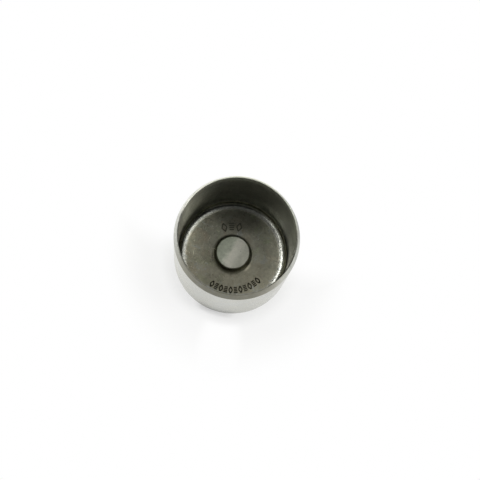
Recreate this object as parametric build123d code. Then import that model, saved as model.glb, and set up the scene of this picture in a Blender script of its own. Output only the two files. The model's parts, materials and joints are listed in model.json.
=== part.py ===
from build123d import *
import math
import os

# Solid bucket tappet for an overhead camshaft: one cup-shaped piece of steel.
# It stands on its closed end, with its axis along +Z and the origin in the middle of the cam face.

# Driving dimensions in millimetres, slopes in degrees

skirt_d = 31.0          # ground outside diameter, which slides in the guide bore
height = 25.5           # cam face to mouth
skirt_wall = 1.05       # thickness of the straight wall
crown = 2.5             # thickness of the closed end between the pad and the corner
cam_edge_break = 0.5    # chamfer round the cam face

mouth_land = 0.33       # flat ring that the lead-in leaves at the mouth
mouth_break = 0.12      # chamfer on the inner edge of the mouth
lead_in_slope = 15.0    # slope of the lead-in outside the mouth, from the axis

pad_d = 8.9             # stem pad in the middle of the crown, which the valve stem presses on
pad_height = 2.5        # how far the pad stands above the crown, chosen by grade
pad_break = 0.25        # chamfer round the pad's top
pad_foot_r = 1.0        # fillet from the pad down to the crown

corner_r = 2.0          # tight part of the corner between the crown and the wall
sweep_r = 5.0           # easier curve that leads from the flat crown into the corner
sweep_slope = 12.0      # slope at which the easier curve hands over to the corner

# Sizes that follow from them

skirt_r = skirt_d / 2
inner_r = skirt_r - skirt_wall
lead_in_length = (skirt_wall - mouth_land) / math.tan(math.radians(lead_in_slope))
pad_r = pad_d / 2
pad_top = crown + pad_height
handover = math.radians(sweep_slope)
corner_rise = sweep_r * (1 - math.cos(handover)) + corner_r * math.cos(handover)


def half_section():
    """Section from the axis outwards, radius along X and height along Z, drawn round from the cam face."""
    with BuildSketch(Plane.XZ) as section:
        with BuildLine():
            cam_face = Line((0, 0), (skirt_r - cam_edge_break, 0))
            cam_edge = Line(cam_face @ 1, (skirt_r, cam_edge_break))
            guide = Line(cam_edge @ 1, (skirt_r, height - lead_in_length))
            lead_in = Line(guide @ 1, (inner_r + mouth_land, height))
            land = Line(lead_in @ 1, (inner_r + mouth_break, height))
            mouth_edge = Line(land @ 1, (inner_r, height - mouth_break))
            wall = Line(mouth_edge @ 1, (inner_r, crown + corner_rise))
            corner = JernArc(wall @ 1, wall % 1, corner_r, sweep_slope - 90)
            sweep = JernArc(corner @ 1, corner % 1, sweep_r, -sweep_slope)
            floor = Line(sweep @ 1, (pad_r + pad_foot_r, crown))
            foot = JernArc(floor @ 1, floor % 1, pad_foot_r, -90)
            pad_side = Line(foot @ 1, (pad_r, pad_top - pad_break))
            pad_edge = Line(pad_side @ 1, (pad_r - pad_break, pad_top))
            pad_face = Line(pad_edge @ 1, (0, pad_top))
            Line(pad_face @ 1, cam_face @ 0)
        make_face()
    return section.sketch


def make_bucket_tappet():
    """The whole tappet, turned about its axis in one piece: crown, pad, skirt and lead-in."""
    return revolve(half_section(), axis=Axis.Z)


bucket_tappet = make_bucket_tappet()
bucket_tappet.label = "bucket_tappet"

os.makedirs("parts", exist_ok=True)
export_step(bucket_tappet, "parts/bucket_tappet.step")
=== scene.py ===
import json
import math
from functools import cached_property

import bpy
import numpy as np
from bpy.props import FloatProperty, FloatVectorProperty, IntProperty, PointerProperty
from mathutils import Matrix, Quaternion, Vector


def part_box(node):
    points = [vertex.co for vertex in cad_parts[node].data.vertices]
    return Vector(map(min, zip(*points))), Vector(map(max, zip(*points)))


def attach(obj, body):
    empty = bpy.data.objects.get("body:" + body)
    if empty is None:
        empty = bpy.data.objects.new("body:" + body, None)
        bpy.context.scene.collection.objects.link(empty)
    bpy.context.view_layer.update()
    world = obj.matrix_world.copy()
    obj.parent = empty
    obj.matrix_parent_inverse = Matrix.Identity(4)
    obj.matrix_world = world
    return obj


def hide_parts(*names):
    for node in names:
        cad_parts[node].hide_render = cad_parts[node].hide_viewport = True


bl_info = {
    "name": "Bucket tappet",
    "version": (1, 0, 0),
    "blender": (4, 5, 0),
    "location": "3D View > Sidebar > Tappet",
    "description": "Dresses a solid bucket tappet and lights it on white paper",
    "category": "Object",
}

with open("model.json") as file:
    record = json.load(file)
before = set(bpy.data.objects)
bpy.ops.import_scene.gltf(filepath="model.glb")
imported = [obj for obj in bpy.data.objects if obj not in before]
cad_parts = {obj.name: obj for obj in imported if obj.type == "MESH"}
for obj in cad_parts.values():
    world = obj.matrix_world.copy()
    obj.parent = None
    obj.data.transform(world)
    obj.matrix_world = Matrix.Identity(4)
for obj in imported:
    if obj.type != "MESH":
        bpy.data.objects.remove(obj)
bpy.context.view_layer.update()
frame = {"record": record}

TAPPET_NODE = "bucket_tappet"
BODY = "root"

_, solid_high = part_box(TAPPET_NODE)
mounts = {mount["name"]: mount for mount in frame["record"]["mounts"]}

MM = 0.001

# Rounding where the lead-in meets the skirt, as a multiple of the rounding of the other edges.
SOFT_EDGE = 6.0

# Steps along each etched stroke, and places of a mark's four dashes, as shares of half its height.
MARK_STEPS = 6
DASH_LEVELS = (-0.75, -0.25, 0.25, 0.75)

# The paper, and the nearest and farthest that the camera sees, in metres.
PAPER_RADIUS = 2.2
PAPER_SIDES = 96
PAPER_LIFT = 0.005 * MM
CAMERA_CLIP = (0.01, 10.0)

# Azimuth and elevation of each soft lamp, in degrees, by the property that holds its radiance.
LAMP_PLACES = {"left_lamp": (160, 55), "front_lamp": (210, 49), "right_lamp": (28, 66), "window": (5, 25)}


# Properties

class TappetShape(bpy.types.PropertyGroup):
    """Sizes of the tappet, the same as the solid's."""

    skirt_radius: FloatProperty(
        name="Skirt radius", description="Outside of the ground skirt",
        default=mounts["guide_skirt"]["dims"]["r_mm"] * MM, unit="LENGTH")
    height: FloatProperty(
        name="Height", description="Cam face to mouth", default=solid_high[2], unit="LENGTH")
    wall: FloatProperty(
        name="Wall", description="Thickness of the straight wall", default=1.05 * MM, unit="LENGTH")
    crown: FloatProperty(
        name="Crown", description="Thickness of the closed end", default=2.5 * MM, unit="LENGTH")
    cam_edge_break: FloatProperty(
        name="Cam edge break", description="Chamfer round the cam face", default=0.5 * MM, unit="LENGTH")
    mouth_land: FloatProperty(
        name="Mouth land", description="Flat ring at the mouth", default=0.33 * MM, unit="LENGTH")
    mouth_break: FloatProperty(
        name="Mouth break", description="Chamfer inside the mouth", default=0.12 * MM, unit="LENGTH")
    lead_in_slope: FloatProperty(
        name="Lead-in slope", description="Slope of the lead-in from the axis",
        default=math.radians(15), subtype="ANGLE")
    pad_radius: FloatProperty(
        name="Pad radius", description="Outside of the stem pad", default=4.45 * MM, unit="LENGTH")
    pad_top: FloatProperty(
        name="Pad top", description="Cam face to pad top",
        default=mounts["stem_pad"]["pos_m"][2], unit="LENGTH")
    pad_break: FloatProperty(
        name="Pad break", description="Chamfer round the pad's top", default=0.25 * MM, unit="LENGTH")
    pad_foot_radius: FloatProperty(
        name="Pad foot", description="Fillet from the pad to the crown", default=1.0 * MM, unit="LENGTH")
    corner_radius: FloatProperty(
        name="Corner radius", description="Tight part of the corner at the wall",
        default=2.0 * MM, unit="LENGTH")
    sweep_radius: FloatProperty(
        name="Sweep radius", description="Easier curve from the crown into the corner",
        default=5.0 * MM, unit="LENGTH")
    sweep_slope: FloatProperty(
        name="Sweep slope", description="Slope at which the corner takes over",
        default=math.radians(12), subtype="ANGLE")
    edge_round: FloatProperty(
        name="Edge rounding", description="Rounding that tumbling leaves on every edge",
        default=0.05 * MM, unit="LENGTH")
    turns: IntProperty(
        name="Segments", description="Segments round the axis", default=384, min=24)
    arc_steps: IntProperty(
        name="Arc steps", description="Bands in each rounded corner", default=12, min=2)


class MarkShape(bpy.types.PropertyGroup):
    """Sizes of the plain marks etched on the floor: a row on one side of the pad and a few across from it."""

    row_radius: FloatProperty(
        name="Row radius", description="Middle of the row of marks", default=9.6 * MM, unit="LENGTH")
    row_size: FloatVectorProperty(
        name="Row mark size", description="Width and height of a mark in the row", size=2,
        default=(0.95 * MM, 1.8 * MM), unit="LENGTH")
    row_pitch: FloatProperty(
        name="Row pitch", description="Distance between marks in the row", default=1.3 * MM, unit="LENGTH")
    row_count: IntProperty(name="Row marks", description="Marks in the row", default=11, min=1)
    row_middle: FloatProperty(
        name="Row middle", description="Where the row's middle lies round the axis",
        default=math.radians(-71), subtype="ANGLE")
    across_radius: FloatProperty(
        name="Across radius", description="Middle of the marks across from the row",
        default=7.6 * MM, unit="LENGTH")
    across_size: FloatVectorProperty(
        name="Across mark size", description="Width and height of a mark across from the row", size=2,
        default=(1.35 * MM, 2.3 * MM), unit="LENGTH")
    across_pitch: FloatProperty(
        name="Across pitch", description="Distance between those marks", default=2.0 * MM, unit="LENGTH")
    across_count: IntProperty(name="Across marks", description="Marks across from the row", default=3, min=1)
    across_middle: FloatProperty(
        name="Across middle", description="Where those marks' middle lies round the axis",
        default=math.radians(106), subtype="ANGLE")
    stroke: FloatProperty(
        name="Stroke", description="Width of an etched line", default=0.33 * MM, unit="LENGTH")
    proud: FloatProperty(
        name="Proud", description="How far the stain stands above the floor",
        default=0.006 * MM, unit="LENGTH")
    depth: FloatProperty(
        name="Depth", description="How far the stain reaches into the floor",
        default=0.03 * MM, unit="LENGTH")


class SteelLook(bpy.types.PropertyGroup):
    """Colours of the steel's finishes."""

    ground: FloatVectorProperty(
        name="Ground steel", description="Ground outside wall", subtype="COLOR",
        default=(0.476, 0.478, 0.428), min=0, max=1)
    pad: FloatVectorProperty(
        name="Ground pad", description="Top of the stem pad", subtype="COLOR",
        default=(0.512, 0.506, 0.432), min=0, max=1)
    lapped: FloatVectorProperty(
        name="Lapped steel", description="Cam face", subtype="COLOR",
        default=(0.60, 0.60, 0.58), min=0, max=1)
    fired: FloatVectorProperty(
        name="Fired steel", description="Heat-treated inside and lead-in", subtype="COLOR",
        default=(0.320, 0.315, 0.248), min=0, max=1)
    etched: FloatVectorProperty(
        name="Etched stain", description="Row of marks on the floor", subtype="COLOR",
        default=(0.045, 0.041, 0.028), min=0, max=1)
    faint: FloatVectorProperty(
        name="Faint stain", description="Marks across from the row", subtype="COLOR",
        default=(0.13, 0.127, 0.10), min=0, max=1)


class StageSetup(bpy.types.PropertyGroup):
    """Camera, lamps and paper."""

    elevation: FloatProperty(
        name="Elevation", description="Camera above the horizon",
        default=math.radians(76.74), subtype="ANGLE")
    roll: FloatProperty(
        name="Roll", description="Turn of the camera about its own line of sight",
        default=math.radians(14.68), subtype="ANGLE")
    distance: FloatProperty(
        name="Distance", description="Camera to the aim point", default=236.8 * MM, unit="LENGTH")
    aim_height: FloatProperty(
        name="Aim height", description="Height of the aim point on the axis",
        default=22.8 * MM, unit="LENGTH")
    focal_pixels: FloatProperty(
        name="Focal length", description="Focal length in picture pixels", default=967.9)
    aim_pixel: FloatVectorProperty(
        name="Aim pixel", description="Where the aim point falls in the picture", size=2,
        default=(237.03, 237.32))
    picture: IntProperty(name="Picture", description="Width and height of the picture", default=480)
    left_lamp: FloatProperty(
        name="Left lamp", description="Radiance of the left soft lamp", default=4.1)
    front_lamp: FloatProperty(
        name="Front lamp", description="Radiance of the soft lamp at the front left", default=1.9)
    right_lamp: FloatProperty(
        name="Right lamp", description="Radiance of the right soft lamp", default=1.3)
    window: FloatProperty(
        name="Window", description="Radiance of the low soft light from the right", default=10.3)
    lamp_spread: FloatProperty(
        name="Lamp spread", description="Width of a soft lamp as the object sees it",
        default=math.radians(24), subtype="ANGLE")
    paper: FloatVectorProperty(
        name="Paper", description="White paper under the object", subtype="COLOR",
        default=(0.95, 0.95, 0.945), min=0, max=1)
    glow: FloatProperty(
        name="Glow", description="Share of pure white in the paper that the camera and reflections see",
        default=0.80, min=0, max=1, subtype="FACTOR")
    horizon: FloatProperty(name="Horizon", description="Brightness of the room low down", default=1.26)
    behind: FloatProperty(
        name="Behind", description="Brightness that the room gains behind the object", default=1.36)
    zenith: FloatProperty(name="Zenith", description="Brightness of the ceiling", default=0.25)


# Shader maths

PURE_WHITE = (1.0, 1.0, 1.0)
NO_TINT = (1.0, 1.0, 1.0)
NOISE_ROUGHNESS = 0.55

# Numbers of a Mix node's colour sockets, which share their names with its other sockets.
MIX_FIRST, MIX_SECOND, MIX_RESULT = 6, 7, 2


class Value:
    """A socket in a node tree. Sums, products and powers of values become Math nodes."""

    def __init__(self, tree, socket):
        self.tree = tree
        self.socket = socket

    def maths(self, operation, *others):
        """The result of a Math node on this value and the others."""
        return self.tree.add("ShaderNodeMath", {"operation": operation}, dict(enumerate((self,) + others)))

    def __add__(self, other):
        return self.maths("ADD", other)

    __radd__ = __add__

    def __mul__(self, other):
        return self.maths("MULTIPLY", other)

    __rmul__ = __mul__

    def __sub__(self, other):
        return self.maths("SUBTRACT", other)

    def __rsub__(self, other):
        return (self * -1) + other

    def __truediv__(self, other):
        return self.maths("DIVIDE", other)

    def __pow__(self, other):
        return self.maths("POWER", other)

    def clamped(self):
        """The value, held between 0 and 1."""
        return self.maths("MINIMUM", 1).maths("MAXIMUM", 0)

    def over(self, low, high):
        """0 below low, 1 above high and a smooth rise between them, or the other way round if low is the
        larger of the two."""
        first, last = (0, 1) if low < high else (1, 0)
        sockets = {"Value": self, "From Min": min(low, high), "From Max": max(low, high),
                   "To Min": first, "To Max": last}
        return self.tree.add("ShaderNodeMapRange", {"interpolation_type": "SMOOTHSTEP"}, sockets)


class Tree:
    """A node tree that is emptied and built again."""

    def __init__(self, owner):
        owner.use_nodes = True
        self.nodes = owner.node_tree.nodes
        self.links = owner.node_tree.links
        self.nodes.clear()

    def make(self, kind, settings=None, sockets=None):
        """Adds a node, applies its settings, then sets or links its sockets by name or number."""
        node = self.nodes.new(kind)
        for name, value in (settings or {}).items():
            setattr(node, name, value)
        for key, value in (sockets or {}).items():
            if isinstance(value, Value):
                self.links.new(value.socket, node.inputs[key])
            else:
                node.inputs[key].default_value = value
        return node

    def add(self, kind, settings=None, sockets=None, output=0):
        """Adds a node and gives one of its outputs as a value."""
        return Value(self, self.make(kind, settings, sockets).outputs[output])

    def point(self):
        """The point on the surface, in the piece's own coordinates and in metres."""
        return self.add("ShaderNodeTexCoord", output="Object")

    def axes(self, vector):
        """The three parts of a vector."""
        split = self.make("ShaderNodeSeparateXYZ", sockets={0: vector})
        return [Value(self, split.outputs[i]) for i in range(3)]

    def vector(self, x, y, z):
        """A vector from its three parts."""
        return self.add("ShaderNodeCombineXYZ", sockets={0: x, 1: y, 2: z})

    def noise(self, vector, scale, detail, distortion=0.0):
        """Fractal noise round 0.5, with about scale waves to each unit of the vector."""
        sockets = {"Vector": vector, "Scale": scale, "Detail": detail,
                   "Roughness": NOISE_ROUGHNESS, "Distortion": distortion}
        return self.add("ShaderNodeTexNoise", sockets=sockets)

    def mix(self, share, first, second, blend="MIX"):
        """first where share is 0, second where it is 1."""
        settings = {"data_type": "RGBA", "blend_type": blend}
        sockets = {0: share, MIX_FIRST: first, MIX_SECOND: second}
        return self.add("ShaderNodeMix", settings, sockets, output=MIX_RESULT)

    def shade(self, colour, level):
        """The colour, times a number that varies round 1."""
        grey = self.vector(level, level, level)
        return self.mix(1.0, colour, grey, "MULTIPLY")

    def metal(self, colour, roughness, height, depth):
        """The surface, as metal with a fine relief, in which a height of 1 is depth metres."""
        relief = self.add("ShaderNodeBump", sockets={"Height": height, "Distance": depth, "Strength": 1.0})
        sockets = {"Base Color": colour, "Roughness": roughness, "Metallic": 1.0, "Normal": relief}
        surface = self.add("ShaderNodeBsdfPrincipled", sockets=sockets)
        self.make("ShaderNodeOutputMaterial", sockets={"Surface": surface})


class Place:
    """Where a point of a surface lies, and masks that rise from 0 to 1 over a stretch of it. Masks take
    millimetres and degrees, and an azimuth is measured round the axis from +X."""

    def __init__(self, tree):
        self.point = tree.point()
        self.x, self.y, self.z = tree.axes(self.point)

    @cached_property
    def radius(self):
        """Distance from the axis, in metres."""
        return (self.x * self.x + self.y * self.y) ** 0.5

    @cached_property
    def right(self):
        """1 to the right of the axis, -1 to the left."""
        return self.x / self.radius

    @cached_property
    def far(self):
        """1 on the far side of the axis, -1 on the near side."""
        return self.y / self.radius

    def facing(self, azimuth, start, full):
        """Rises as the direction from the axis nears azimuth. start and full are cosines of the angle
        between the two."""
        angle = math.radians(azimuth)
        return (self.right * math.cos(angle) + self.far * math.sin(angle)).over(start, full)

    def out(self, start, full):
        """Rises from one distance from the axis to another."""
        return self.radius.over(start * MM, full * MM)

    def up(self, start, full):
        """Rises from one height above the cam face to another."""
        return self.z.over(start * MM, full * MM)

    def spot(self, middle, size, turn):
        """1 in the middle of a soft oval and 0 from its rim on. size is half its length and half its width,
        and turn is its long direction."""
        angle = math.radians(turn)
        x, y = self.x - middle[0] * MM, self.y - middle[1] * MM
        along = (x * math.cos(angle) + y * math.sin(angle)) / (size[0] * MM)
        across = (y * math.cos(angle) - x * math.sin(angle)) / (size[1] * MM)
        return (along * along + across * across).over(1.0, 0.1)


class FiredPlace(Place):
    """A place on the fired steel, with masks for its parts. The outside counts as part of the wall."""

    def __init__(self, tree, shape):
        super().__init__(tree)
        self.inner_radius = shape.skirt_radius - shape.wall
        self.on_wall = self.ring(0.4, 0.1)
        self.outside = self.ring(-0.1, -0.25)
        self.polished = self.ring(2.3, 1.7) * self.ring(0.6, 1.0)
        self.rim = self.z.over(shape.height - 0.3 * MM, shape.height - 0.1 * MM)
        # Painted highlight on the far side of the rim, dimmed at two places round it.
        self.far_rim_highlight = layered(self.rim * self.far.over(0.1, 0.5), (
            (self.facing(35, 0.75, 0.95), -0.5),
            (self.facing(138, 0.85, 0.97), -0.45)))

    def ring(self, start, full):
        """Rises from one distance in from the wall to another."""
        return self.radius.over(self.inner_radius - start * MM, self.inner_radius - full * MM)


def new_material(name):
    """An empty material and its tree."""
    material = bpy.data.materials.new(name)
    return material, Tree(material)


def opaque(colour, tint=NO_TINT):
    """The colour times the tint, with an alpha of 1."""
    return (*(channel * share for channel, share in zip(colour, tint)), 1.0)


def layered(level, layers):
    """The level times 1 + mask x share for each layer. A share above 0 lightens, one below it darkens."""
    for mask, share in layers:
        level = level * (1 + mask * share)
    return level


def blended(share, first, second):
    """The first number where share is 0 and the second where it is 1."""
    return first * (1 - share) + second * share


# Finishes

# Tints, as shares of red, green and blue.
GROUND_WARM = (1.005, 1.0, 0.985)
GROUND_COLD = (0.99, 0.998, 1.02)
PAD_GREENER = (0.91, 0.99, 0.92)
PAD_GREYER = (0.95, 0.965, 0.94)
FIRED_BROWN = (1.06, 0.97, 0.93)
FIRED_GREEN = (0.96, 1.03, 0.92)
FIRED_WARM = (1.03, 0.985, 0.92)
FIRED_COLD = (0.95, 0.99, 1.12)
FIRED_WALL = (0.94, 0.98, 1.16)
FIRED_LEAD_IN = (0.96, 0.985, 1.13)

# Levels of the fired steel: the limits that keep its colour between black and white, the limit of its
# inside wall and the level of the painted highlight on the far rim.
DARKEST, LIGHTEST = 0.05, 2.8
LIGHTEST_WALL = 2.45
PAINTED_RIM_HIGHLIGHT = 3.5

# Soft ovals: middle, half the length and half the width in millimetres, and turn in degrees.
PAD_PIT = ((1.86, 0.79), (0.2, 0.2), 0)
# Painted shadow on the far floor, where the far wall shades it.
FAR_FLOOR_PAINTED_SHADOW = ((-0.6, 10.2), (8.6, 5.4), 0)
BROWN_STAIN = ((-6.9, -1.5), (1.7, 1.2), 0)
SCRATCH = ((-10.1, -2.2), (1.1, 0.14), -80)
# Painted highlight on the pad's foot fillet, on the near right.
FOOT_PAINTED_HIGHLIGHT = ((4.72, -2.48), (1.6, 0.55), 61)


def ground_skirt_finish(look):
    """Centreless-ground steel: fine lines round the axis, faint bands, upright clouds, painted light on both
    sides, painted light and shade on the right and, on the near side, painted shade along the cam face edge."""
    material, tree = new_material("ground_skirt")
    place = Place(tree)
    x, y, z = place.x, place.y, place.z
    fine_lines = tree.noise(tree.vector(x * 120, y * 120, z * 9000), 1.0, 2.0)
    bands = tree.noise(tree.vector(x * 40, y * 40, z * 1400), 1.0, 3.0)
    clouds = tree.noise(tree.vector(x, y, z * 0.35), 520.0, 4.0, distortion=0.5)
    grain = tree.noise(place.point, 3600.0, 2.0)
    tint = tree.noise(place.point, 210.0, 2.0, distortion=0.6)
    # Painted shade along the cam face edge on the near side, painted light on both sides, and on the right
    # painted light low down and painted shade high up.
    near_edge_painted_shade = place.up(6.0, 1.0) * place.facing(-92, 0.88, 0.98)
    flank_painted_light = place.right ** 2 * 0.18 + place.facing(180, 0.3, 1.0) * 0.25
    right_painted_light_and_shade = place.right.over(0.5, 0.9) * (place.up(17.0, 9.0) * 0.26 - 0.12)
    level = 0.785 + bands * 0.12 + clouds * 0.22 + grain * 0.12 - near_edge_painted_shade * 0.26 + flank_painted_light + right_painted_light_and_shade
    warm, cold = opaque(look.ground, GROUND_WARM), opaque(look.ground, GROUND_COLD)
    steel = tree.mix(tint.over(0.40, 0.62), warm, cold)
    roughness = 0.19 + fine_lines * 0.08 + clouds * 0.10
    tree.metal(tree.shade(steel, level), roughness, fine_lines + bands * 0.6, 0.0010 * MM)
    return material


def lapped_face_finish(look):
    """Lapped cam face: nearly bright, with fine crossing scratches and faint turned rings."""
    material, tree = new_material("lapped_face")
    place = Place(tree)
    x, y = place.x, place.y
    one_way = tree.noise(tree.vector((x + y) * 1900, (x - y) * 120, 0.0), 1.0, 2.0)
    other_way = tree.noise(tree.vector((x + y) * 120, (x - y) * 1900, 0.0), 1.0, 2.0)
    scratches = one_way.maths("MAXIMUM", other_way)
    rings = tree.noise(tree.vector(place.radius * 1300, 0.0, 0.0), 1.0, 2.0)
    grain = tree.noise(place.point, 5200.0, 2.0)
    colour = tree.shade(opaque(look.lapped), 0.84 + scratches * 0.14 + rings * 0.12)
    roughness = 0.10 + scratches * 0.14 + rings * 0.06
    tree.metal(colour, roughness, grain, 0.0004 * MM)
    return material


def ground_pad_finish(look):
    """Ground pad top: short straight lay, a cloudy painted highlight in a stripe across it, greener on one
    side of the stripe and greyer on the other, and a few small pits."""
    material, tree = new_material("ground_pad")
    place = Place(tree)
    x, y = place.x, place.y
    lay = tree.noise(tree.vector((x * 0.5 + y) * 500, (y * 0.5 - x) * 5200, 0.0), 1.0, 3.0)
    clouds = tree.noise(place.point, 420.0, 3.0, distortion=1.2)
    patches = tree.noise(place.point, 1100.0, 3.0, distortion=0.8)
    grain = tree.noise(place.point, 4200.0, 2.0)
    pits = tree.noise(place.point, 2600.0, 1.0).over(0.74, 0.80)
    pits = pits.maths("MAXIMUM", place.spot(*PAD_PIT))
    across = x * 0.96 - y * 0.28 + (clouds - 0.5) * (2.4 * MM)
    # A cloudy painted highlight in a stripe across the pad.
    painted_highlight_band = across.over(-1.9 * MM, -0.1 * MM) * across.over(2.7 * MM, 0.3 * MM)
    mottle = (clouds - 0.5) * 0.55 + (patches - 0.5) * 0.60 + (grain - 0.5) * 0.45 + (lay - 0.5) * 0.12
    steel = tree.mix(across.over(0.0, -2.0 * MM), opaque(look.pad), opaque(look.pad, PAD_GREENER))
    steel = tree.mix(across.over(0.6 * MM, 2.6 * MM), steel, opaque(look.pad, PAD_GREYER))
    colour = tree.shade(steel, 1.11 + painted_highlight_band * 0.38 + mottle - pits * 0.42)
    roughness = 0.26 + lay * 0.10 + clouds * 0.06
    tree.metal(colour, roughness, lay - pits, 0.0020 * MM)
    return material


def floor_level(place, shape):
    """Lightness of the floor: lighter towards the corner and a little on the left and the near left, lighter
    on the flat floor inside the corner, painted highlights where the corner's highlight spreads on the right
    and the far left, painted shade round the pad's foot, and the far wall's painted shadow on the far side."""
    floor_lighter = place.out(7.5, 11.5) * 0.16 + place.facing(175, 0.3, 0.9) * 0.04
    floor_lighter = floor_lighter + place.facing(-142, 0.75, 0.95) * place.out(6.0, 8.0) * 0.10
    # Painted highlight where the corner's highlight spreads inward on both sides, halved on the right.
    corner_painted_highlight = place.ring(2.45, 2.10) * place.ring(1.30, 1.60) * place.right ** 2 * place.far.over(-0.1, 0.2)
    corner_painted_highlight = corner_painted_highlight * (1 - place.right.over(0.0, 0.1) * 0.5)
    foot = place.radius.over(shape.pad_radius + 1.5 * MM, shape.pad_radius + 0.4 * MM)
    return layered(1.0, (
        (floor_lighter, 1.0),
        (place.facing(-12, 0.55, 0.95) * place.out(8.5, 11.5), 0.43),  # painted highlight on the right, where the corner's highlight spreads inward
        (place.ring(1.75, 2.55), 0.22),  # flat floor inside the corner
        (corner_painted_highlight, 0.55),
        (foot * (1 - place.facing(-15, 0.4, 1.0)), -0.48),  # painted shade round the pad's foot, less under the foot's painted highlight
        # painted shadow of the far wall on the far floor
        (place.spot(*FAR_FLOOR_PAINTED_SHADOW), -0.47),
        (place.facing(152, 0.7, 0.95) * place.ring(1.05, 0.75), 0.8)))  # painted highlight in the corner on the far left


def wall_level(place):
    """Lightness of the inside wall: painted light on the far left and low down on the far side, lighter at
    the mouth from wear and painted light together, and painted shade in upright strips on the left and the
    right."""
    far_left_painted_light = place.facing(150, -0.2, 1.0) * 0.34 + place.facing(92, 0.8, 1.0) * 0.12
    # Lighter at the mouth on the far side and on the right, from wear and painted light together.
    mouth = place.far.over(0.3, 0.7) * 0.85 + place.facing(5, 0.9, 1.0) * 0.45
    level = layered(0.94, (
        (far_left_painted_light, 1.0),
        (place.up(21.5, 25.0) * mouth, 1.0),
        (place.up(3.5, 12.0) * place.facing(162, 0.72, 1.00), 0.95),  # painted light on the left, above the corner
        (place.up(13.0, 5.0) * place.facing(120, 0.30, 0.80), 0.9),  # painted light low on the far side
        (place.facing(184, 0.92, 1.00), -0.55),  # painted shade in a strip on the left
        (place.facing(-8, 0.84, 1.00), -0.5),  # painted shade on the right
        (place.up(22.5, 14.5) * place.facing(8, 0.80, 0.95), -0.74),  # painted shade low on the right
        (place.up(8.0, 13.0) * place.facing(-25, 0.90, 0.98), -0.78)))  # painted shade on the near right, above the corner
    return level.maths("MINIMUM", LIGHTEST_WALL)


def lead_in_level(place):
    """Lightness of the lead-in: painted light from the left round to the far side and on the right, and
    painted shade on the near side."""
    # Painted shade on the near side of the lead-in.
    scale = place.far.over(-0.35, -1.1)
    return layered(1.08 - scale * 0.62, (
        (place.facing(140, -0.10, 0.70), 0.42),  # painted light on the far left half
        (place.facing(127, 0.60, 0.90), 0.52),  # painted light, its lightest stretch
        (place.facing(42, 0.80, 0.96), -0.42),  # painted shade on the far right
        (place.facing(-12, 0.78, 0.95), 0.42),  # painted light on the right
        (place.facing(180, 0.85, 1.00), 0.3)))  # painted light on the left


def fired_level(place, shape):
    """Lightness of the fired steel under its texture: the floor, the wall and the lead-in, painted shade in
    the corner, and a rim with painted shade on the left, painted light on the near side and a painted
    highlight on the far side."""
    # Painted shade in the steep part of the corner, mostly on the far side and half as much on the left.
    corner_shade_sides = place.facing(70, 0.35, 0.65).maths("MAXIMUM", place.facing(100, 0.35, 0.75))
    corner_shade_sides = corner_shade_sides.maths("MAXIMUM", place.facing(205, 0.85, 0.97) * 0.5)
    corner_painted_shade = place.ring(1.25, 0.95) * place.ring(0.25, 0.50) * corner_shade_sides
    inside = blended(place.on_wall, floor_level(place, shape), wall_level(place)) * (1 - corner_painted_shade * 0.52)
    whole = blended(place.outside, inside, lead_in_level(place))
    # Painted shade on the rim's inner edge on the left, and painted light on its near side.
    left_rim_painted_shade = (1 - place.outside) * place.facing(200, 0.8, 0.97) * 0.7
    near_rim_painted_light = place.far.over(-0.2, -0.7) * 0.15
    return (1 - place.rim * (left_rim_painted_shade - near_rim_painted_light)) * blended(place.far_rim_highlight, whole, PAINTED_RIM_HIGHLIGHT)


def fired_colour(tree, look, place, patches):
    """Colour of the fired steel: brown stains, green and cold clouds, a warmer near side, and a colder wall,
    polished ring and lead-in."""
    tint = tree.noise(place.point, 190.0, 3.0, distortion=1.0)
    stains = tint.over(0.53, 0.68) * (0.4 + place.right.over(0.0, -0.6) * 0.6)
    stains = stains.maths("MAXIMUM", place.spot(*BROWN_STAIN) * 0.8)
    bare = (place.on_wall * (1 - place.outside) * 0.8).maths("MAXIMUM", place.polished * 0.7)
    colour = opaque(look.fired)
    for share, shift in ((stains, FIRED_BROWN),
                         (tint.over(0.48, 0.34), FIRED_GREEN),
                         (place.far.over(0.3, -0.6) * 0.6, FIRED_WARM),
                         (patches.over(0.56, 0.70) * 0.8, FIRED_COLD),
                         (bare, FIRED_WALL),
                         (place.outside * place.far.over(-0.95, -0.3), FIRED_LEAD_IN)):
        colour = tree.mix(share, colour, opaque(look.fired, shift))
    return colour


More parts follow.
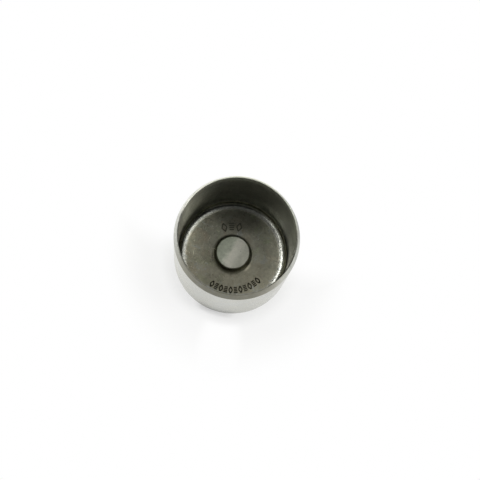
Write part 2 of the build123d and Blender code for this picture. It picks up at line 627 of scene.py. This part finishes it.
def fired_steel_finish(look, shape):
    """Dull heat-treated steel inside the cup and on the lead-in: grain, clouds, bright specks, one scratch
    and a painted highlight at the pad's foot, turned rings on floor and lead-in, drawn streaks on the wall
    and a ragged polished ring in the corner with painted shade on its right, all on the lightness and the
    colour of the place."""
    material, tree = new_material("fired_steel")
    place = FiredPlace(tree, shape)
    grain = tree.noise(place.point, 4600.0, 2.0)
    coarse = tree.noise(place.point, 1500.0, 3.0, distortion=0.5)
    patches = tree.noise(place.point, 560.0, 3.0, distortion=0.9)
    clouds = tree.noise(place.point, 230.0, 3.0, distortion=0.6)
    rings = tree.noise(tree.vector(place.radius * 2600, 0.0, place.z * 2600), 1.0, 3.0)
    streaks = tree.noise(tree.vector(place.x * 900, place.y * 900, place.z * 60), 1.0, 3.0)
    lay = blended(place.on_wall, rings, streaks)
    specks = (tree.noise(place.point, 2300.0, 1.0) + place.facing(170, 0.2, 0.9) * 0.04).over(0.68, 0.76)
    specks = specks * (1 - place.outside * 0.6)
    # A scratch on the left, and a painted highlight on the pad's foot fillet.
    marks = place.spot(*SCRATCH) * 0.7 + place.spot(*FOOT_PAINTED_HIGHLIGHT) * 0.6
    ragged = tree.noise(place.point, 2700.0, 2.0).over(0.42, 0.64) * place.polished

    mottle = (clouds - 0.5) * 0.42 + (patches - 0.5) * 0.52 + (coarse - 0.5) * 0.50 + (grain - 0.5) * 0.46
    level = 0.96 + mottle + (lay - 0.5) * 0.18 + specks * 0.65 + marks
    # The polished ring is darker on the right: painted shade that dims the corner's highlight there.
    level = level + ragged * 0.55 - place.polished * (0.20 + place.facing(-8, 0.75, 1.0) * 0.22)
    level = (level * fired_level(place, shape)).maths("MINIMUM", LIGHTEST).maths("MAXIMUM", DARKEST)
    colour = tree.shade(fired_colour(tree, look, place, patches), level)
    roughness = 0.30 + (clouds - 0.5) * 0.12 + (coarse - 0.5) * 0.10 - specks * (1 - place.on_wall) * 0.10
    roughness = roughness - place.polished * 0.08 + place.on_wall * 0.08 + (place.rim + place.far_rim_highlight) * 0.2
    relief = ((grain - 0.5) * 0.8 + (coarse - 0.5) * 0.8 + (lay - 0.5) * 0.4) * (1 + place.polished * 2.0)
    tree.metal(colour, roughness.clamped(), relief, 0.010 * MM)
    return material


def etched_finish(name, dark):
    """Electro-etched stain: dark, dry and slightly patchy."""
    material, tree = new_material(name)
    patches = tree.noise(tree.point(), 2200.0, 3.0)
    tree.metal(tree.shade(opaque(dark), 0.65 + patches * 0.7), 0.45 + patches * 0.2, patches, 0.006 * MM)
    return material


def paper_finish(stage):
    """White paper. The camera and reflections see it partly as pure white, wholly so away from the tappet and
    behind it, and less so round the tappet's foot, where its shadow lies."""
    material, tree = new_material("paper")
    place = Place(tree)
    fibres = tree.noise(place.point, 700.0, 4.0)
    colour = tree.shade(opaque(stage.paper), 0.99 + fibres * 0.02)
    paper = tree.add("ShaderNodeBsdfDiffuse", sockets={"Color": colour})
    white = tree.add("ShaderNodeEmission", sockets={"Color": opaque(PURE_WHITE), "Strength": 1.0})
    rays = tree.make("ShaderNodeLightPath")
    seen = Value(tree, rays.outputs["Is Camera Ray"])
    for path in ("Is Glossy Ray", "Is Transmission Ray"):
        seen = seen.maths("MAXIMUM", Value(tree, rays.outputs[path]))
    shade = place.out(20.0, 15.5) * (0.1 + place.far.over(0.3, -0.5) * 0.9)
    under = place.out(16.9, 16.1) * place.facing(-93, 0.93, 0.985)
    light_patch = place.out(17.4, 19.4) * place.facing(-84, 0.95, 0.995)
    open_paper = place.out(21.0, 34.0).maths("MAXIMUM", place.far.over(-0.22, 0.18))
    open_paper = open_paper.maths("MAXIMUM", light_patch * 0.9)
    glow = layered(blended(open_paper, stage.glow, 1.0), ((shade, -0.26), (under, -0.38)))
    surface = tree.add("ShaderNodeMixShader", sockets={0: seen * glow, 1: paper, 2: white})
    tree.make("ShaderNodeOutputMaterial", sockets={"Surface": surface})
    return material


# Mesh

def corners_of(shape):
    """Corners of the half section and the rounding of each, from the cam face out, up the skirt, over
    the mouth, down the wall, in along the floor and up the pad. The corner at the wall is two corners,
    the easier sweep and the tight one, which meet at the sweep's slope."""
    outer = shape.skirt_radius
    inner = outer - shape.wall
    top = shape.height
    lead_in = (shape.wall - shape.mouth_land) / math.tan(shape.lead_in_slope)
    slope = shape.sweep_slope
    run = shape.sweep_radius * math.sin(slope) + shape.corner_radius * (1 - math.sin(slope))
    rise = shape.sweep_radius * (1 - math.cos(slope)) + shape.corner_radius * math.cos(slope)
    sweep_at = inner - run + shape.sweep_radius * math.tan(slope / 2)
    corner_at = shape.crown + rise - shape.corner_radius * math.tan((math.pi / 2 - slope) / 2)
    tiny = shape.edge_round
    return np.array([
        (outer - shape.cam_edge_break, 0.0, tiny),
        (outer, shape.cam_edge_break, tiny),
        (outer, top - lead_in, tiny * SOFT_EDGE),
        (inner + shape.mouth_land, top, tiny),
        (inner + shape.mouth_break, top, tiny),
        (inner, top - shape.mouth_break, tiny),
        (inner, corner_at, shape.corner_radius),
        (sweep_at, shape.crown, shape.sweep_radius),
        (shape.pad_radius, shape.crown, shape.pad_foot_radius),
        (shape.pad_radius, shape.pad_top - shape.pad_break, tiny),
        (shape.pad_radius - shape.pad_break, shape.pad_top, tiny),
    ])


LAPPED, GROUND, FIRED, PAD = range(4)

# Finish of each corner's bands, and of the stretches before, between and after the corners.
CORNER_FINISH = (GROUND,) * 3 + (FIRED,) * 7 + (PAD,)
STRETCH_FINISH = (LAPPED, GROUND, GROUND) + (FIRED,) * 7 + (PAD, PAD)


def rounded_outline(corners, start, end, steps):
    """Points and outward normals of an outline whose corners are rounded. Each arc is tangent to both
    stretches at its corner: its ends lie rounding / tan(half the inside angle) from the corner, and its
    points turn evenly from one end's direction to the other's about the arc's centre."""
    points = corners[:, :2]
    rounding = corners[:, 2:3]
    back = np.vstack([start, points[:-1]]) - points
    ahead = np.vstack([points[1:], end]) - points
    back /= np.linalg.norm(back, axis=1, keepdims=True)
    ahead /= np.linalg.norm(ahead, axis=1, keepdims=True)
    inside = np.arccos(np.clip((back * ahead).sum(axis=1, keepdims=True), -1, 1))
    middle = (back + ahead) / np.linalg.norm(back + ahead, axis=1, keepdims=True)
    centre = points + middle * rounding / np.sin(inside / 2)
    first = (points + back * rounding / np.tan(inside / 2) - centre) / rounding
    last = (points + ahead * rounding / np.tan(inside / 2) - centre) / rounding
    turn = (np.pi - inside)[:, None]
    share = np.linspace(0, 1, steps + 1)[None, :, None]
    spokes = np.sin((1 - share) * turn) * first[:, None] + np.sin(share * turn) * last[:, None]
    spokes /= np.sin(turn)
    left_turn = ahead[:, 0] * back[:, 1] - ahead[:, 1] * back[:, 0] > 0
    side = np.where(left_turn, 1.0, -1.0)[:, None, None]
    places = centre[:, None] + spokes * rounding[:, None]
    return places.reshape(-1, 2), (spokes * side).reshape(-1, 2)


def lathe(name, corners, start, end, steps, turns, corner_finish, stretch_finish):
    """A closed surface of revolution: point(k, a) = (r_k cos a, r_k sin a, z_k), where the outline gives
    r_k and z_k and a goes once round the axis. One vertex closes each end on the axis."""
    outline, slopes = rounded_outline(corners, start, end, steps)
    angle = np.linspace(0, 2 * np.pi, turns, endpoint=False)
    spin = np.stack([np.cos(angle), np.sin(angle)], axis=1)
    rings = len(outline)

    def swept(pairs):
        flat = pairs[:, None, 0, None] * spin[None]
        tall = np.repeat(pairs[:, 1:], turns, axis=1)[:, :, None]
        return np.concatenate([flat, tall], axis=2).reshape(-1, 3)

    ends = np.array([(0.0, 0.0, start[1]), (0.0, 0.0, end[1])])
    vertices = np.vstack([swept(outline), ends])
    normals = np.vstack([swept(slopes), [(0.0, 0.0, -1.0), (0.0, 0.0, 1.0)]])
    this = np.arange(turns)
    following = (this + 1) % turns
    row = np.arange(rings - 1)[:, None] * turns
    quads = np.stack([row + this, row + following, row + turns + following, row + turns + this], axis=2)
    low_pole, high_pole = rings * turns, rings * turns + 1
    top_row = (rings - 1) * turns
    low_fan = np.stack([np.full(turns, low_pole), following, this], axis=1)
    high_fan = np.stack([np.full(turns, high_pole), top_row + this, top_row + following], axis=1)
    mesh = bpy.data.meshes.new(name)
    mesh.from_pydata(vertices, [], quads.reshape(-1, 4).tolist() + low_fan.tolist() + high_fan.tolist())

    bands = [[corner] * steps + [stretch] for corner, stretch in zip(corner_finish, stretch_finish[1:])]
    finish = np.concatenate([np.repeat(np.concatenate(bands)[:-1], turns),
                             np.repeat([stretch_finish[0], stretch_finish[-1]], turns)])
    mesh.polygons.foreach_set("material_index", finish.astype(np.int32))
    mesh.polygons.foreach_set("use_smooth", np.ones(len(mesh.polygons), dtype=bool))
    mesh.normals_split_custom_set_from_vertices(normals)
    mesh.update()
    return mesh


def strokes_mesh(name, ends, width, low, high):
    """Flat closed strokes that follow circles about the axis. A stroke runs from (a, r) to (b, s), angle
    and radius, in a straight line in those two; at each of its steps a rectangle, width across and from
    low to high, is set square to the line, and the rectangles are joined into one closed bar."""
    begin, finish = ends[:, None, 0], ends[:, None, 1]
    share = np.linspace(0, 1, MARK_STEPS + 1)[None, :, None]
    path = begin + (finish - begin) * share
    scale = ends[:, :, 1].mean(axis=1)[:, None, None]
    along = (finish - begin) * np.concatenate([scale, np.ones_like(scale)], axis=2)
    along /= np.linalg.norm(along, axis=2, keepdims=True)
    across = np.stack([-along[:, :, 1] / scale[:, :, 0], along[:, :, 0]], axis=2) * width / 2
    corners = np.stack([path - across, path + across, path + across, path - across], axis=2)
    tall = np.array([low, low, high, high])
    angle, radius = corners[..., 0], corners[..., 1]
    height = np.broadcast_to(tall, angle.shape)
    points = np.stack([radius * np.cos(angle), radius * np.sin(angle), height], axis=3).reshape(-1, 3)
    rows = MARK_STEPS + 1
    start = (np.arange(len(ends)) * rows * 4)[:, None, None]
    step = (np.arange(MARK_STEPS) * 4)[None, :, None]
    side = np.arange(4)[None, None, :]
    following = (side + 1) % 4
    base = start + step
    walls = np.stack([base + side, base + 4 + side, base + 4 + following, base + following], axis=3)
    first_cap = start[:, 0] + np.array([[0, 1, 2, 3]])
    last_cap = start[:, 0] + MARK_STEPS * 4 + np.array([[3, 2, 1, 0]])
    mesh = bpy.data.meshes.new(name)
    mesh.from_pydata(points, [], np.vstack([walls.reshape(-1, 4), first_cap, last_cap]).tolist())
    mesh.update()
    return mesh


def add_piece(name, mesh, materials):
    """Links a mesh at the origin, riding on the body, with its materials."""
    for material in materials:
        mesh.materials.append(material)
    piece = bpy.data.objects.new(name, mesh)
    bpy.context.scene.collection.objects.link(piece)
    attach(piece, BODY)
    return piece


# Operators

class TAPPET_OT_turn_tappet(bpy.types.Operator):
    """Turns the whole tappet from its half section and gives each stretch its finish"""

    bl_idname = "tappet.turn_tappet"
    bl_label = "Turn tappet"

    def execute(self, context):
        shape = context.scene.tappet_shape
        look = context.scene.tappet_look
        mesh = lathe("tappet", corners_of(shape), (0.0, 0.0), (0.0, shape.pad_top),
                     shape.arc_steps, shape.turns, CORNER_FINISH, STRETCH_FINISH)
        finishes = (lapped_face_finish(look), ground_skirt_finish(look),
                    fired_steel_finish(look, shape), ground_pad_finish(look))
        piece = add_piece("tappet", mesh, finishes)
        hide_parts(TAPPET_NODE)
        return {"FINISHED"}


class TAPPET_OT_etch_marks(bpy.types.Operator):
    """Etches a row of plain diamonds and dashes on the floor, and three faint ones across from it"""

    bl_idname = "tappet.etch_marks"
    bl_label = "Etch marks"

    def execute(self, context):
        shape = context.scene.tappet_shape
        marks = context.scene.tappet_marks
        look = context.scene.tappet_look
        bottom, top = shape.crown - marks.depth, shape.crown + marks.proud
        row = self.strokes(marks.row_count, marks.row_size, marks.row_pitch,
                           marks.row_radius, marks.row_middle)
        mesh = strokes_mesh("etched_row", row, marks.stroke, bottom, top)
        add_piece("etched_row", mesh, [etched_finish("etched_stain", look.etched)])
        across = self.strokes(marks.across_count, marks.across_size, marks.across_pitch,
                              marks.across_radius, marks.across_middle)
        mesh = strokes_mesh("etched_across", across, marks.stroke, bottom, top)
        add_piece("etched_across", mesh, [etched_finish("faint_stain", look.faint)])
        return {"FINISHED"}

    def strokes(self, count, size, pitch, radius, middle):
        """Ends of every stroke, as (angle, radius): a diamond of four strokes at every other place, and a
        stack of four dashes at the rest."""
        side, tip = size[0] / 2, size[1] / 2
        diamond = np.array([((-side, 0), (0, tip)), ((0, tip), (side, 0)),
                            ((side, 0), (0, -tip)), ((0, -tip), (-side, 0))])
        dashes = np.array([((-side, level * tip), (side, level * tip)) for level in DASH_LEVELS])
        number = np.arange(count)
        marks = np.stack([diamond, dashes])[number % 2]
        places = (number - (count - 1) / 2) * pitch / radius + middle
        angles = marks[..., 0] / radius + places[:, None, None]
        return np.stack([angles, marks[..., 1] + radius], axis=-1).reshape(-1, 2, 2)


class TAPPET_OT_set_stage(bpy.types.Operator):
    """Sets the white paper, the room, four soft lamps and the camera"""

    bl_idname = "tappet.set_stage"
    bl_label = "Set stage"

    def execute(self, context):
        stage = context.scene.tappet_stage
        self.lay_paper(stage)
        self.light_room(stage)
        for name, (azimuth, elevation) in LAMP_PLACES.items():
            self.hang_lamp(name, getattr(stage, name), stage.lamp_spread, azimuth, elevation)
        self.place_camera(stage)
        context.scene.view_settings.view_transform = "Standard"
        return {"FINISHED"}

    def lay_paper(self, stage):
        """A flat disc of paper, a hair above the cam face so that the two don't lie in one plane."""
        angle = np.linspace(0, 2 * np.pi, PAPER_SIDES, endpoint=False)
        lift = np.full(PAPER_SIDES, PAPER_LIFT)
        rim = np.stack([np.cos(angle) * PAPER_RADIUS, np.sin(angle) * PAPER_RADIUS, lift], axis=1)
        mesh = bpy.data.meshes.new("paper")
        mesh.from_pydata(rim, [], [list(range(PAPER_SIDES))])
        mesh.materials.append(paper_finish(stage))
        paper = bpy.data.objects.new("paper", mesh)
        bpy.context.scene.collection.objects.link(paper)

    def light_room(self, stage):
        """A pale room: bright low down and halfway up behind the object, and dim at the ceiling. Heights are
        sines of the angle above the horizon."""
        world = bpy.data.worlds.new("room")
        bpy.context.scene.world = world
        tree = Tree(world)
        _, back, up = tree.axes(tree.add("ShaderNodeTexCoord", output="Generated"))
        low = up.over(0.55, 0.15) * stage.horizon
        middle = up.over(0.25, 0.55) * up.over(0.93, 0.75) * back.over(-0.1, 0.5) * stage.behind
        level = low + middle + up.over(0.80, 0.95) * stage.zenith
        background = tree.add("ShaderNodeBackground", sockets={"Strength": level})
        tree.make("ShaderNodeOutputWorld", sockets={"Surface": background})

    def hang_lamp(self, name, radiance, spread, azimuth, elevation):
        """A soft lamp far away. It fills a cone of half-angle h, and so gives radiance x pi x sin(h)
        squared."""
        lamp = bpy.data.lights.new(name, "SUN")
        lamp.angle = spread
        lamp.energy = radiance * math.pi * math.sin(spread / 2) ** 2
        holder = bpy.data.objects.new(name, lamp)
        holder.rotation_mode = "QUATERNION"
        azimuth, elevation = math.radians(azimuth), math.radians(elevation)
        level = math.cos(elevation)
        direction = Vector((level * math.cos(azimuth), level * math.sin(azimuth), math.sin(elevation)))
        holder.rotation_quaternion = direction.to_track_quat("Z", "Y")
        bpy.context.scene.collection.objects.link(holder)

    def place_camera(self, stage):
        """The camera looks at a point on the axis, rolled, and turned so that the point falls on its
        pixel."""
        camera = bpy.data.cameras.new("camera")
        camera.lens = stage.focal_pixels / stage.picture * camera.sensor_width
        camera.clip_start, camera.clip_end = CAMERA_CLIP
        holder = bpy.data.objects.new("camera", camera)
        back = Vector((0, -math.cos(stage.elevation), math.sin(stage.elevation)))
        middle = stage.picture / 2
        seen = Vector((stage.aim_pixel[0] - middle, middle - stage.aim_pixel[1], -stage.focal_pixels))
        offset = seen.rotation_difference(Vector((0, 0, -1)))
        holder.rotation_mode = "QUATERNION"
        rolled = (-back).to_track_quat("-Z", "Y") @ Quaternion((0, 0, 1), stage.roll)
        holder.rotation_quaternion = rolled @ offset
        holder.location = Vector((0, 0, stage.aim_height)) + back * stage.distance
        bpy.context.scene.collection.objects.link(holder)
        bpy.context.scene.camera = holder


class TAPPET_PT_sidebar(bpy.types.Panel):
    """Lists the steps and the sizes"""

    bl_idname = "TAPPET_PT_sidebar"
    bl_label = "Bucket tappet"
    bl_space_type = "VIEW_3D"
    bl_region_type = "UI"
    bl_category = "Tappet"

    def draw(self, context):
        scene = context.scene
        for operator in OPERATORS:
            self.layout.operator(operator.bl_idname)
        for group in (scene.tappet_shape, scene.tappet_marks, scene.tappet_look, scene.tappet_stage):
            box = self.layout.box()
            for name in group.__annotations__:
                box.prop(group, name)


OPERATORS = (TAPPET_OT_turn_tappet, TAPPET_OT_etch_marks, TAPPET_OT_set_stage)
GROUPS = {"tappet_shape": TappetShape, "tappet_marks": MarkShape,
          "tappet_look": SteelLook, "tappet_stage": StageSetup}


def register():
    for kind in (*GROUPS.values(), *OPERATORS, TAPPET_PT_sidebar):
        bpy.utils.register_class(kind)
    for name, kind in GROUPS.items():
        setattr(bpy.types.Scene, name, PointerProperty(type=kind))


def unregister():
    for name in GROUPS:
        delattr(bpy.types.Scene, name)
    for kind in (TAPPET_PT_sidebar, *OPERATORS, *GROUPS.values()):
        bpy.utils.unregister_class(kind)


def main():
    """Builds the tappet, its marks and the stage."""
    register()
    bpy.ops.tappet.turn_tappet()
    bpy.ops.tappet.etch_marks()
    bpy.ops.tappet.set_stage()


if __name__ == "__main__":
    main()
